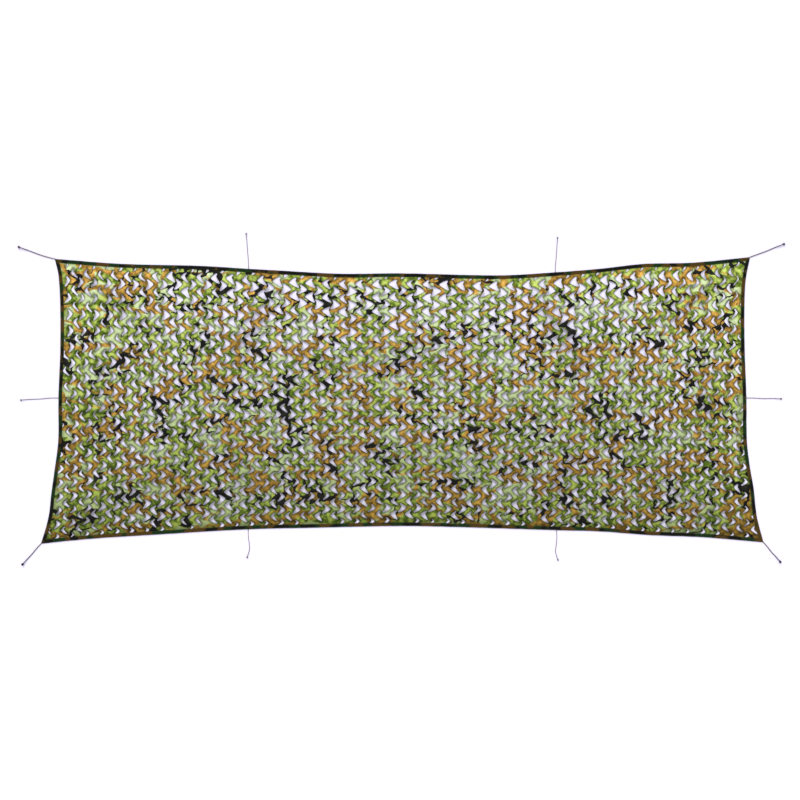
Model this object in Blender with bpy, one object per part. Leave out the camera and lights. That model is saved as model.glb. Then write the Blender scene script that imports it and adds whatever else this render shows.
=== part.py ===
"""A camouflage net, 2 m by 5 m, laid out flat on level ground.

The net is one cloth, cut in staggered rows of bent slits and drawn open, so that the slits spread into
gaps. A darker tape is folded over each edge and mitred at the corners. Ten short ties leave the tape, and
an overhand knot stops each of them. X runs along the net, Y across it and Z up. The origin is on the
ground under the middle of the net and its tapes. Sizes are in metres and angles in degrees.
"""

from bisect import bisect_right
from itertools import pairwise
import math

import bmesh
import bpy
from mathutils import Vector
from mathutils.geometry import delaunay_2d_cdt

# Cloth and tape
CLOTH_THICKNESS = 0.0015
TAPE_WIDTH = 0.025  # from the folded edge to the tape's two inner edges
TAPE_LEAF = 0.0016
TAPE_SLOT = 0.0023  # height of the space that holds the cloth between the two leaves
TAPE_FOLD = 0.005  # depth of the folded edge, where the slot ends
TAPE_ROUND = 0.0008
TAPE_HEIGHT = 2 * TAPE_LEAF + TAPE_SLOT
CORNER_LEG = 0.0045  # each mitred corner is turned in this far along both of its edges
MITRE_GAP = 0.0003
MITRE_FAN = 2.4 * TAPE_WIDTH  # within this distance of a corner the tape's sections lean towards the mitre

CLOTH_INSET = 0.0065  # from the net's outer edge to the cloth's own edge, inside the tape
CLOTH_SHELF = 0.030  # up to here the cloth stays level with the slot
CLOTH_FALL = 0.085  # and from here on it lies on the ground
CLOTH_EDGE_Z = TAPE_LEAF + (TAPE_SLOT - CLOTH_THICKNESS) / 2

# The net's outer edges, drawn in between the corners. Left and right run upwards, the others to the right.
LEFT_EDGE = (
    (-2.5458, -1.0096),
    (-2.4940, -0.8277),
    (-2.4710, -0.6387),
    (-2.4480, -0.4766),
    (-2.4240, -0.2792),
    (-2.4230, 0.0176),
    (-2.4104, 0.3412),
    (-2.4104, 0.6726),
    (-2.4230, 0.8840),
    (-2.4490, 0.9970),
)
RIGHT_EDGE = (
    (2.5458, -0.9997),
    (2.4979, -0.8079),
    (2.4767, -0.6176),
    (2.4485, -0.4554),
    (2.4294, -0.2792),
    (2.4260, 0.0176),
    (2.4132, 0.3906),
    (2.4125, 0.6726),
    (2.4210, 0.8488),
    (2.4513, 1.0096),
)
TOP_EDGE = (
    (-2.4490, 0.9970),
    (-1.9750, 0.9620),
    (-1.4256, 0.9480),
    (-1.0822, 0.9271),
    (-0.8900, 0.9165),
    (-0.4385, 0.8925),
    (-0.0155, 0.8954),
    (0.6895, 0.8813),
    (1.0787, 0.9026),
    (1.3945, 0.9278),
    (1.6976, 0.9616),
    (2.0500, 0.9708),
    (2.4513, 1.0096),
)
BOTTOM_EDGE = (
    (-2.5458, -1.0096),
    (-2.2060, -0.9757),
    (-1.7570, -0.9468),
    (-1.0857, -0.9080),
    (-0.6150, -0.8968),
    (-0.0155, -0.8848),
    (0.3790, -0.8918),
    (1.0878, -0.9143),
    (1.3945, -0.9228),
    (1.7470, -0.9489),
    (2.1136, -0.9637),
    (2.5458, -0.9997),
)
EVERY_TRIANGLE = 0  # the triangulation's own code for a full set of triangles
SAME_POINT = 1e-6
LONG_SPANS = 30  # straight pieces that make up the top and the bottom edge
SHORT_SPANS = 14

# The slits, at twice their real pitch. Each cell holds one slit bent to the right and one to the left.
CELL_COLUMNS = 23
CELL_ROWS = 9
MOST_GAPS = 300  # this many slits are cut, and the cloth is left whole at the others
SLIT_SCALE = 2.0
SLIT_TOP = (-0.002, 0.031)
SLIT_BEND = (0.008, 0.003)
SLIT_TAIL = (-0.021, -0.033)
SLIT_SHOULDER = 0.008  # half the length of the straight stretch on each side of the bend
SLIT_COLUMNS = (
    # side, place across the cell, place of the lowest slit in cells, rows
    (1, 0.0, 0.5, CELL_ROWS),
    (-1, 0.42, 1.0, CELL_ROWS - 1),
)
COLUMN_SPREAD = 1.075  # the middle columns are wider than the average by this factor
WIDEST_GAP = 0.060
LIP_LIFT = 0.006  # a slit's inner lip stands up by this much on the widest gaps
PUCKER = 0.004  # height of the cloth at a slit that is left closed

# How far a slit opens, as a share of the widest gap: by the share t of the net's width, and by distance
# from its nearer end. The smaller of the two readings counts.
OPENING_BY_WIDTH = ((0.0, 0.32), (0.25, 0.36), (0.5, 0.52), (0.75, 0.76), (1.0, 1.0))
OPENING_BY_END = ((0.0, 0.20), (0.15, 0.33), (0.35, 0.62), (0.70, 1.0))

# Soft folds that stand up from the ground: they fan out from the corners and cross between the ties.
FOLDS = (
    # x, y, heading, length, width, height
    (-2.05, 0.72, -38, 1.00, 0.26, 0.020),
    (-2.02, -0.70, 35, 1.10, 0.28, 0.024),
    (2.05, 0.73, 219, 0.95, 0.26, 0.021),
    (2.02, -0.70, 146, 1.10, 0.30, 0.023),
    (-2.13, 0.05, 84, 0.95, 0.24, 0.015),
    (2.14, -0.02, 95, 0.90, 0.24, 0.016),
    (-1.05, 0.52, 64, 0.75, 0.28, 0.014),
    (1.10, 0.50, 118, 0.80, 0.26, 0.015),
    (-1.12, -0.50, 112, 0.80, 0.26, 0.013),
    (1.12, -0.53, 70, 0.75, 0.28, 0.014),
    (-0.10, 0.30, 6, 1.60, 0.34, 0.012),
    (0.30, -0.42, -5, 1.50, 0.32, 0.012),
)

# Ties. Each route runs over the ground from the tape to the knot.
CORNER_TIE = 0.006
EDGE_TIE = 0.004
TIE_STEP = 3.0  # distance between a tie's points, in diameters
TIE_RESOLUTION = 2  # gives a tie eight sides
TIE_REST = 0.0002  # clearance under a tie
KNOT_WIDTH = 2.5  # in diameters of the tie, like the next two
KNOT_LENGTH = 2.9
KNOT_RISE = 6.0  # length over which the tie rises from the ground into its knot
KNOT_GAP = 0.0003
KNOT_SIDES = 10
KNOT_SHARP = 50  # edges sharper than this angle aren't shaded smooth
KNOT_SWELLING = (
    # share of the knot's length from its inner end, share of its full radius
    (0.0, 0.55),
    (0.22, 0.95),
    (0.42, 1.0),
    (0.55, 0.86),
    (0.70, 0.98),
    (0.88, 0.84),
    (1.0, 0.5),
)
TIES = (
    # name, diameter, (x, y) of the points that its middle line runs through
    (
        "corner_top_left",
        CORNER_TIE,
        (
            (-2.4500, 0.9975),
            (-2.4980, 1.0095),
            (-2.5479, 1.0244),
            (-2.6200, 1.0510),
            (-2.7009, 1.0801),
        ),
    ),
    (
        "corner_top_right",
        CORNER_TIE,
        (
            (2.4523, 1.0102),
            (2.5020, 1.0285),
            (2.5620, 1.0500),
            (2.6250, 1.0765),
            (2.6896, 1.1012),
        ),
    ),
    (
        "corner_bottom_left",
        CORNER_TIE,
        (
            (-2.5465, -1.0103),
            (-2.5760, -1.0420),
            (-2.6110, -1.0850),
            (-2.6420, -1.1180),
            (-2.6755, -1.1555),
        ),
    ),
    (
        "corner_bottom_right",
        CORNER_TIE,
        (
            (2.5465, -1.0004),
            (2.5730, -1.0300),
            (2.6020, -1.0680),
            (2.6320, -1.1000),
            (2.6642, -1.1379),
        ),
    ),
    (
        "top_left",
        EDGE_TIE,
        (
            (-1.0822, 0.9276),
            (-1.0850, 0.9900),
            (-1.0905, 1.0560),
            (-1.0945, 1.1150),
            (-1.0998, 1.1745),
        ),
    ),
    (
        "top_right",
        EDGE_TIE,
        (
            (1.0787, 0.9031),
            (1.0815, 0.9620),
            (1.0870, 1.0250),
            (1.0905, 1.0860),
            (1.0949, 1.1456),
        ),
    ),
    (
        "bottom_left",
        EDGE_TIE,
        (
            (-1.0857, -0.9085),
            (-1.0840, -0.9640),
            (-1.0780, -1.0120),
            (-1.0770, -1.0520),
            (-1.0928, -1.1061),
        ),
    ),
    (
        "bottom_right",
        EDGE_TIE,
        (
            (1.0878, -0.9148),
            (1.0900, -0.9720),
            (1.0850, -1.0230),
            (1.0810, -1.0690),
            (1.0977, -1.1238),
        ),
    ),
    (
        "left",
        EDGE_TIE,
        (
            (-2.4235, 0.0176),
            (-2.4900, 0.0160),
            (-2.5560, 0.0100),
            (-2.6220, 0.0075),
            (-2.6875, 0.0028),
        ),
    ),
    (
        "right",
        EDGE_TIE,
        (
            (2.4265, 0.0176),
            (2.4850, 0.0165),
            (2.5480, 0.0130),
            (2.6100, 0.0140),
            (2.6712, 0.0113),
        ),
    ),
)

# name: red, green and blue, roughness
FINISHES = {
    "net_cloth": ((0.230, 0.330, 0.075), 0.75),
    "edge_tape": ((0.030, 0.070, 0.030), 0.80),
    "tie_cord": ((0.240, 0.225, 0.170), 0.85),
}


def remove_everything():
    for item in list(bpy.data.objects):
        bpy.data.objects.remove(item)


def finish(name):
    """The material of this name, made on first use."""
    if name in bpy.data.materials:
        return bpy.data.materials[name]
    colour, roughness = FINISHES[name]
    material = bpy.data.materials.new(name)
    material.use_nodes = True
    shader = material.node_tree.nodes["Principled BSDF"]
    shader.inputs["Base Color"].default_value = (*colour, 1.0)
    shader.inputs["Roughness"].default_value = roughness
    shader.inputs["Metallic"].default_value = 0.0
    return material


def add_mesh(name, points, faces, finish_name):
    """One mesh object with its faces turned outwards."""
    mesh = bpy.data.meshes.new(name)
    mesh.from_pydata(points, [], faces)
    shape = bmesh.new()
    shape.from_mesh(mesh)
    bmesh.ops.recalc_face_normals(shape, faces=shape.faces)
    shape.to_mesh(mesh)
    shape.free()
    mesh.materials.append(finish(finish_name))
    piece = bpy.data.objects.new(name, mesh)
    bpy.context.scene.collection.objects.link(piece)
    return piece


def skin(points, sides):
    """Faces of a closed body whose points come in rings of this many sides, with a cap at each end."""
    faces = [tuple(range(sides)), tuple(range(points - sides, points))]
    for first in range(0, points - sides, sides):
        for side in range(sides):
            here = first + side
            after = first + (side + 1) % sides
            faces.append((here, after, after + sides, here + sides))
    return faces


class Path:
    """A smooth curve through hand-placed points, read by the distance run along it."""

    STEPS = 16  # straight pieces between two of the points
    HEADING_REACH = 0.0025  # share of the length on each side over which a heading is taken

    def __init__(self, points):
        self.line = self.smooth([Vector(point) for point in points])
        self.run = [0.0]
        for start, end in pairwise(self.line):
            self.run.append(self.run[-1] + (end - start).length)
        self.length = self.run[-1]

    def smooth(self, points):
        spans = [(end - start).length for start, end in pairwise(points)]
        slopes = []
        for index in range(len(points)):
            first = max(index - 1, 0)
            last = min(index + 1, len(points) - 1)
            slopes.append((points[last] - points[first]) / sum(spans[first:last]))
        line = [points[0]]
        for index, span in enumerate(spans):
            for step in range(1, self.STEPS + 1):
                u = step / self.STEPS
                line.append(
                    points[index] * (2 * u**3 - 3 * u**2 + 1)
                    + slopes[index] * span * (u**3 - 2 * u**2 + u)
                    + points[index + 1] * (3 * u**2 - 2 * u**3)
                    + slopes[index + 1] * span * (u**3 - u**2)
                )
        return line

    def at(self, distance):
        index = min(max(bisect_right(self.run, distance) - 1, 0), len(self.line) - 2)
        share = (distance - self.run[index]) / (self.run[index + 1] - self.run[index])
        return self.line[index].lerp(self.line[index + 1], share)

    def heading(self, distance):
        reach = self.length * self.HEADING_REACH
        ahead = self.at(min(distance + reach, self.length))
        behind = self.at(max(distance - reach, 0.0))
        return (ahead - behind).normalized()


LEFT = Path(LEFT_EDGE)
RIGHT = Path(RIGHT_EDGE)
TOP = Path(TOP_EDGE)
BOTTOM = Path(BOTTOM_EDGE)


def edge_distances(edge, spans):
    """Distances along an edge at which the tape and the cloth have their points."""
    step = edge.length / spans
    inner = [step * index for index in range(1, spans)]
    return [0.0, MITRE_FAN, *inner, edge.length - MITRE_FAN, edge.length]


def place(s, t):
    """The point of the laid net at the share s of its length and t of its width."""
    across = BOTTOM.at(s * BOTTOM.length) * (1 - t) + TOP.at(s * TOP.length) * t
    along = LEFT.at(t * LEFT.length) * (1 - s) + RIGHT.at(t * RIGHT.length) * s
    below = BOTTOM.line[0] * (1 - s) + BOTTOM.line[-1] * s
    above = TOP.line[0] * (1 - s) + TOP.line[-1] * s
    return across + along - below * (1 - t) - above * t


def between(value, rows):
    """A value read from a short table of (position, value) rows by straight lines."""
    for (start, low), (end, high) in pairwise(rows):
        if value <= end:
            break
    share = min(max((value - start) / (end - start), 0.0), 1.0)
    return low + (high - low) * share


def ease(share):
    """0 to 1 with no kink at either end."""
    share = min(max(share, 0.0), 1.0)
    return share * share * (3 - 2 * share)


def fold_height(point):
    """Height of the folds at a point on the plan."""
    height = 0.0
    for x, y, heading, length, width, peak in FOLDS:
        turn = math.radians(heading)
        offset = Vector((point.x - x, point.y - y))
        along = offset.x * math.cos(turn) + offset.y * math.sin(turn)
        across = offset.y * math.cos(turn) - offset.x * math.sin(turn)
        if abs(along) < length / 2 and abs(across) < width / 2:
            ridge = math.cos(math.pi * across / width) ** 2
            height += peak * ridge * math.cos(math.pi * along / length)
    return height


def ground_height(point, s, t):
    """Height of the cloth's underside: level in the tape, then down to the ground and over the folds."""
    from_edge = min(min(s, 1 - s) * BOTTOM.length, min(t, 1 - t) * LEFT.length)
    fall = ease((from_edge - CLOTH_SHELF) / (CLOTH_FALL - CLOTH_SHELF))
    return CLOTH_EDGE_Z * (1 - fall) + fold_height(point) * fall


def opening(s, t):
    """Width of the gap at a slit: wide along the top, narrow along the bottom and where the ends bunch."""
    from_end = min(s, 1 - s) * BOTTOM.length
    return WIDEST_GAP * min(between(t, OPENING_BY_WIDTH), between(from_end, OPENING_BY_END))


def slits():
    """Every slit as (opening, s, t, side), one of each cell first and then the widest of the others.

    Side is 1 where the slit bends to the right and -1 where it bends to the left.
    """
    found = []
    for column in range(1, CELL_COLUMNS):
        for side, shift, first_row, rows in SLIT_COLUMNS:
            centred = 2 * (column + shift) / CELL_COLUMNS - 1
            s = 0.5 + 0.5 * (COLUMN_SPREAD * centred - (COLUMN_SPREAD - 1) * centred**3)
            for row in range(rows):
                t = (row + first_row) / CELL_ROWS
                found.append((opening(s, t), s, t, side))
    return sorted(found, key=lambda slit: (-slit[3], -slit[0]))


def slit_outline(width, side):
    """Corners of an open slit around its centre, anticlockwise, as (x, y, lift of the cloth there)."""
    lift = LIP_LIFT * width / WIDEST_GAP
    bend_x, bend_y = SLIT_BEND
    corners = (
        (*SLIT_TOP, 0.0),
        (bend_x - width / 2, bend_y + SLIT_SHOULDER, lift),
        (bend_x - width / 2, bend_y - SLIT_SHOULDER, lift),
        (*SLIT_TAIL, 0.0),
        (bend_x + width / 2, bend_y - SLIT_SHOULDER, 0.0),
        (bend_x + width / 2, bend_y + SLIT_SHOULDER, 0.0),
    )
    return [(side * SLIT_SCALE * x, SLIT_SCALE * y, SLIT_SCALE * z) for x, y, z in corners[::side]]


def ring(inset):
    """The shares (s, t) around the cloth at this distance in from the net's outer edge."""
    low_s = inset / BOTTOM.length
    low_t = inset / LEFT.length
    bottom = [distance / BOTTOM.length for distance in edge_distances(BOTTOM, LONG_SPANS)]
    right = [distance / RIGHT.length for distance in edge_distances(RIGHT, SHORT_SPANS)]
    top = [distance / TOP.length for distance in edge_distances(TOP, LONG_SPANS)]
    left = [distance / LEFT.length for distance in edge_distances(LEFT, SHORT_SPANS)]
    shares = [(s, 0.0) for s in bottom[:-1]]
    shares += [(1.0, t) for t in right[:-1]]
    shares += [(s, 1.0) for s in reversed(top[1:])]
    shares += [(0.0, t) for t in reversed(left[1:])]
    return [(min(max(s, low_s), 1 - low_s), min(max(t, low_t), 1 - low_t)) for s, t in shares]


def net_plan():
    """Points, their heights, the loops that bound the cloth and its gaps, and the lines it bends along."""
    points = []
    heights = []

    def add(point, height):
        points.append(point)
        heights.append(height)
        return len(points) - 1

    loops = [[add(place(s, t), CLOTH_EDGE_Z) for s, t in ring(CLOTH_INSET)]]
    shelf = [add(place(s, t), CLOTH_EDGE_Z) for s, t in ring(CLOTH_SHELF)]
    bends = [*pairwise(shelf), (shelf[-1], shelf[0])]
    for rank, (width, s, t, side) in enumerate(slits()):
        centre = place(s, t)
        if rank >= MOST_GAPS:
            add(centre, ground_height(centre, s, t) + PUCKER)
            continue
        loop = []
        for x, y, lift in slit_outline(width, side):
            corner = centre + Vector((x, y))
            loop.append(add(corner, ground_height(corner, s, t) + lift))
        loops.append(loop)
    return points, heights, loops, bends


def add_net():
    """The cloth: its plan in triangles without the gaps, an upper and a lower side, and walls between."""
    points, heights, loops, bends = net_plan()
    plan = delaunay_2d_cdt(points, bends, loops, EVERY_TRIANGLE, SAME_POINT)
    flat, triangles, sources, owners = plan[0], plan[2], plan[3], plan[5]
    solid = [face for face, owner in zip(triangles, owners) if owner == [0]]
    low = [(*point, heights[source[0]]) for point, source in zip(flat, sources)]
    high = [(x, y, z + CLOTH_THICKNESS) for x, y, z in low]
    count = len(low)
    faces = [tuple(index + count for index in face) for face in solid]
    faces += [tuple(reversed(face)) for face in solid]
    sides = {edge for face in solid for edge in zip(face, (*face[1:], face[0]))}
    faces += [(a, b, b + count, a + count) for a, b in sides if (b, a) not in sides]
    add_mesh("net", low + high, faces, "net_cloth")


def tape_section():
    """The folded tape cut across, as (depth in from the net's outer edge, height)."""
    upper = TAPE_LEAF + TAPE_SLOT
    return (
        (0.0, TAPE_ROUND),
        (TAPE_ROUND, 0.0),
        (TAPE_WIDTH, 0.0),
        (TAPE_WIDTH, TAPE_LEAF),
        (TAPE_FOLD, TAPE_LEAF),
        (TAPE_FOLD, upper),
        (TAPE_WIDTH, upper),
        (TAPE_WIDTH, TAPE_HEIGHT),
        (TAPE_ROUND, TAPE_HEIGHT),
        (0.0, TAPE_HEIGHT - TAPE_ROUND),
    )


def corner_angle(edge, distance, neighbour):
    """The angle inside the net between this edge and the one that it meets at a corner."""
    away = edge.heading(distance) if distance == 0.0 else -edge.heading(distance)
    corner = edge.at(distance)
    other_end = 0.0 if (neighbour.at(0.0) - corner).length < TAPE_FOLD else neighbour.length
    other = neighbour.heading(other_end) if other_end == 0.0 else -neighbour.heading(other_end)
    return away.angle(other)


def add_tape(name, edge, spans, inward_side, start_neighbour, end_neighbour):
    """One folded tape. Inward_side is 1 where the net lies to the left of the edge's own direction."""
    start_angle = corner_angle(edge, 0.0, start_neighbour)
    end_angle = corner_angle(edge, edge.length, end_neighbour)
    distances = edge_distances(edge, spans)
    distances = [distances[0], CORNER_LEG, *distances[1:-1], edge.length - CORNER_LEG, distances[-1]]
    points = []
    for distance in distances:
        at_start = distance < edge.length / 2
        angle = start_angle if at_start else end_angle
        from_corner = distance if at_start else edge.length - distance
        lean = max(0.0, 1 - from_corner / MITRE_FAN) / math.tan(angle / 2)
        ahead = edge.heading(distance)
        towards_middle = ahead if at_start else -ahead
        inward = Vector((-ahead.y, ahead.x)) * inward_side
        corner = edge.at(distance)
        turned_in = 0.0
        if from_corner == 0.0:
            corner = corner + towards_middle * MITRE_GAP
            turned_in = CORNER_LEG * math.sin(angle) / 2
        for depth, height in tape_section():
            depth += turned_in * max(0.0, 1 - depth / TAPE_FOLD)
            spot = corner + inward * depth + towards_middle * lean * depth
            points.append((*spot, height))
    add_mesh(name, points, skin(len(points), len(tape_section())), "edge_tape")


def tie_route(diameter, plan):
    """A tie's smooth route: out of the tape, down to the ground and up into its knot."""
    ground = diameter / 2 + TIE_REST
    knot = KNOT_WIDTH * diameter / 2 + TIE_REST
    leave = max(ground, TAPE_HEIGHT / 2)
    flat = Path([(x, y, 0.0) for x, y in plan])
    last = flat.length - KNOT_LENGTH * diameter / 2
    steps = round(last / (TIE_STEP * diameter))
    level = last - last / steps  # the last stretch runs level, square to the knot
    points = []
    for step in range(steps + 1):
        distance = last * step / steps
        height = leave + (ground - leave) * ease(distance / (KNOT_RISE * diameter))
        height += (knot - ground) * ease(1 - (level - distance) / (KNOT_RISE * diameter))
        points.append(flat.at(distance) + Vector((0.0, 0.0, height)))
    return points


def add_tie(name, diameter, plan):
    route = tie_route(diameter, plan)
    curve = bpy.data.curves.new(name, "CURVE")
    curve.dimensions = "3D"
    curve.bevel_depth = diameter / 2
    curve.bevel_resolution = TIE_RESOLUTION
    curve.use_fill_caps = True
    spline = curve.splines.new("POLY")
    spline.points.add(len(route) - 1)
    for spot, point in zip(spline.points, route):
        spot.co = (*point, 1.0)
    curve.materials.append(finish("tie_cord"))
    piece = bpy.data.objects.new(name, curve)
    bpy.context.scene.collection.objects.link(piece)
    return route[-1], (route[-1] - route[-2]).to_2d().normalized()


def add_knot(name, diameter, end, heading):
    """An overhand knot as a turned solid, with its two turns as swellings and a flat outer end."""
    length = KNOT_LENGTH * diameter
    radius = KNOT_WIDTH * diameter / 2
    sideways = Vector((-heading.y, heading.x, 0.0))
    ahead = heading.to_3d()
    points = []
    for along, share in KNOT_SWELLING:
        middle = end + ahead * (KNOT_GAP + along * length)
        for side in range(KNOT_SIDES):
            turn = 2 * math.pi * (side + 0.5) / KNOT_SIDES
            reach = sideways * math.cos(turn) + Vector((0.0, 0.0, math.sin(turn)))
            points.append(middle + reach * radius * share)
    knot = add_mesh(name, points, skin(len(points), KNOT_SIDES), "tie_cord")
    knot.data.shade_smooth()
    knot.data.set_sharp_from_angle(angle=math.radians(KNOT_SHARP))


def main():
    remove_everything()
    add_net()
    add_tape("binding_top", TOP, LONG_SPANS, -1, LEFT, RIGHT)
    add_tape("binding_bottom", BOTTOM, LONG_SPANS, 1, LEFT, RIGHT)
    add_tape("binding_left", LEFT, SHORT_SPANS, -1, BOTTOM, TOP)
    add_tape("binding_right", RIGHT, SHORT_SPANS, 1, BOTTOM, TOP)
    for name, diameter, plan in TIES:
        end, heading = add_tie("tie_" + name, diameter, plan)
        add_knot("knot_" + name, diameter, end, heading)


main()
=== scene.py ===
"""The looks of a camouflage net of 2 m by 5 m, laid out on a pale floor and seen from straight above.

X runs along the net, Y across it and Z up. Sizes are in metres and angles in degrees, unless a name says
otherwise.
"""

from bisect import bisect_right
from itertools import pairwise
import math
import random

import bmesh
import bpy
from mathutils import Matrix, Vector, noise
from mathutils.geometry import delaunay_2d_cdt


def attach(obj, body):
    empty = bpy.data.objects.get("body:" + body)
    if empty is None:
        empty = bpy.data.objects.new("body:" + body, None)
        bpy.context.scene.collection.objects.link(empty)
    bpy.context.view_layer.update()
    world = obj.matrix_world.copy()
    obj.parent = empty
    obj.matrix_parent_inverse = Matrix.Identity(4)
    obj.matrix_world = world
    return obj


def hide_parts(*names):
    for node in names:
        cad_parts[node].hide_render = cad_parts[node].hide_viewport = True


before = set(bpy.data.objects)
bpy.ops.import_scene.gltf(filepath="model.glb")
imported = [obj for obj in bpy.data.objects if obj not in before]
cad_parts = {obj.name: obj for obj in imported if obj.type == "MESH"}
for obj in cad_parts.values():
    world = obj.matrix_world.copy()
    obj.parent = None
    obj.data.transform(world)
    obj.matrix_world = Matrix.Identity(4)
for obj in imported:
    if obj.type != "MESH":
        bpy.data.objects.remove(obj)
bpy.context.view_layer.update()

# Camera
CAMERA_PLACE = (-0.0155, 0.0028)  # straight above this point of the floor
CAMERA_LENS = 70.0  # millimetres, as the sensor's width
CAMERA_SENSOR = 36.0
VIEW_WIDTH = 5.64  # how much of the floor the picture's width shows

# Floor and light
FLOOR_REACH = 30.0
FLOOR_Z = -0.0004
FLOOR_COLOUR = (0.60, 0.582, 0.69, 1)
SKY_COLOUR = (1.0, 0.98, 1.04, 1)
SKY_STRENGTH = 1.18
SUN_STRENGTH = 3.2
SUN_WIDTH = 35  # angle that it covers, for soft shadows
SUN_LEAN = (-52, -14, 0)  # turns about X, Y and Z from straight down

# Cloth and tape. The tape is folded over the cloth's edge: a leaf, the slot that holds the cloth, a leaf.
CLOTH_THICKNESS = 0.0008
TAPE_WIDTH = 0.025
TAPE_LEAF = 0.0016
TAPE_SLOT = 0.0023
TAPE_FOLD = 0.005  # depth of the fold, where the two leaves are one
TAPE_HEIGHT = 2 * TAPE_LEAF + TAPE_SLOT
TAPE_EDGE = 0.0006  # the lower leaf's edge is cut off this much
FOLD_STEPS = 6  # steps of the fold's round outside
TAPE_STEP = 0.008  # distance between the cuts across a tape
LEAST_TAPE_STEP = 0.002  # between the cuts at a corner and the next one
UNEVEN = (
    # most that the tape's top swells, its inner edge slumps and the whole of it sways;
    # length of one such change, and where in the noise it is read
    (0.0007, 0.035, 3.0),
    (0.0012, 0.050, 9.0),
    (0.0010, 0.070, 21.0),
)
EVEN_LENGTH = 0.01  # up to this far from a corner the tape is even
UNEVEN_RISE = 0.05  # and in this length from there on it becomes fully uneven
CORNER_LEG = 0.0045  # the corner's tip is blunted from this far along each tape
STITCH_PITCH = 0.009
STITCH_LENGTH = 0.0065
STITCH_ROWS = (0.0065, 0.0205)  # depths of the rows of stitches, in from the net's outer edge
THREAD = 0.0011
STITCH_BLUR = 0.0003  # half of the length in which a stitch's end fades
THREAD_BLUR = 0.0002  # half of the width in which its side fades
MITRE_GAP = 0.0003  # each mitred end is drawn back this far along its tape
MITRE_FAN = 2.4 * TAPE_WIDTH  # length in which the cuts across the tape turn into the mitre
CLOTH_INSET = 0.0065  # from the net's outer edge to the cloth's own, inside the tape
CLOTH_SHELF = 0.027  # up to this depth the cloth lies at the height of the tape's slot
CLOTH_FALL = 0.068  # and from this depth on at its free height
CLOTH_EDGE_Z = TAPE_LEAF + (TAPE_SLOT - CLOTH_THICKNESS) / 2
RIM_STEPS_ALONG = 200  # stretches that the cloth's own edge has on a long side
RIM_STEPS_ACROSS = 80

# Edges that bend by more than these angles are sharp
TAPE_SHARP = 50
CLOTH_SHARP = 60
CORD_SHARP = 70

# The net's outer edges, drawn in between the corners. Left and right run upwards, the others to the right.
LEFT_EDGE = (
    (-2.5458, -1.0096),
    (-2.4940, -0.8277),
    (-2.4710, -0.6387),
    (-2.4480, -0.4766),
    (-2.4240, -0.2792),
    (-2.4230, 0.0176),
    (-2.4104, 0.3412),
    (-2.4104, 0.6726),
    (-2.4230, 0.8840),
    (-2.4490, 0.9970),
)
RIGHT_EDGE = (
    (2.5458, -0.9997),
    (2.4979, -0.8079),
    (2.4767, -0.6176),
    (2.4485, -0.4554),
    (2.4294, -0.2792),
    (2.4260, 0.0176),
    (2.4132, 0.3906),
    (2.4125, 0.6726),
    (2.4210, 0.8488),
    (2.4513, 1.0096),
)
TOP_EDGE = (
    (-2.4490, 0.9970),
    (-1.9750, 0.9620),
    (-1.4256, 0.9480),
    (-1.0822, 0.9271),
    (-0.8900, 0.9165),
    (-0.4385, 0.8925),
    (-0.0155, 0.8954),
    (0.6895, 0.8813),
    (1.0787, 0.9026),
    (1.3945, 0.9278),
    (1.6976, 0.9616),
    (2.0500, 0.9708),
    (2.4513, 1.0096),
)
BOTTOM_EDGE = (
    (-2.5458, -1.0096),
    (-2.2060, -0.9757),
    (-1.7570, -0.9468),
    (-1.0857, -0.9080),
    (-0.6150, -0.8968),
    (-0.0155, -0.8848),
    (0.3790, -0.8918),
    (1.0878, -0.9143),
    (1.3945, -0.9228),
    (1.7470, -0.9489),
    (2.1136, -0.9637),
    (2.5458, -0.9997),
)

# Low folds of the cloth
FOLDS = (
    # x and y of the middle, heading, length, width, height
    (-2.05, 0.72, -38, 1.00, 0.26, 0.013),
    (-2.02, -0.70, 35, 1.10, 0.28, 0.015),
    (2.05, 0.73, 219, 0.95, 0.26, 0.013),
    (2.02, -0.70, 146, 1.10, 0.30, 0.015),
    (-2.13, 0.05, 84, 0.95, 0.24, 0.010),
    (2.14, -0.02, 95, 0.90, 0.24, 0.010),
    (-1.05, 0.52, 64, 0.75, 0.28, 0.014),
    (1.10, 0.50, 118, 0.80, 0.26, 0.015),
    (-1.12, -0.50, 112, 0.80, 0.26, 0.013),
    (1.12, -0.53, 70, 0.75, 0.28, 0.014),
    (-0.10, 0.30, 6, 1.60, 0.34, 0.012),
    (0.30, -0.42, -5, 1.50, 0.32, 0.012),
)

# Slits, at their real pitch. Each cell of their pattern holds one slit bent to the right and one to the left.
ROWS = 18.7  # rows of cells between the net's long edges
PATTERN_REACH = 24  # columns of cells from the net's middle to where their pitch is that of the ends
PITCH = (
    # share of the net's width, pitch of the columns at the net's ends, and at its middle
    (0.0, 0.1055, 0.1060),
    (0.25, 0.1015, 0.1070),
    (0.5, 0.0945, 0.1130),
    (1.0, 0.0935, 0.1195),
)
ROW_SAG = 0.13  # how far the rows at the net's ends crowd towards its lower edge
SLIT_SETS = (
    # 1 for slits bent to the right and -1 for the left, columns and rows that the set is moved by
    (1, 0.0, 0.4),
    (-1, 0.44, 0.9),
)
SLIT_SIZES = (1.0, 0.9, 0.8, 0.7, 0.6, 0.5, 0.4)  # tried one after the other until the gap fits
SIZES_TRIED = (3, 4, 4, 5, 6, 7)  # one of these, by chance, is how many are tried in the net's lower half
SLIT_MARGIN = 0.0125  # least distance to the net's outer edge; the tape covers a part of such gaps
CELL_WIDTH = 0.112  # the cell for which the gaps' own sizes are given
CELL_HEIGHT = 0.099
SLIT_SEED = 7
TRY_SEED = 3
INFILL_SEED = 11
MILLIMETRES = 1000  # in a metre
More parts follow.
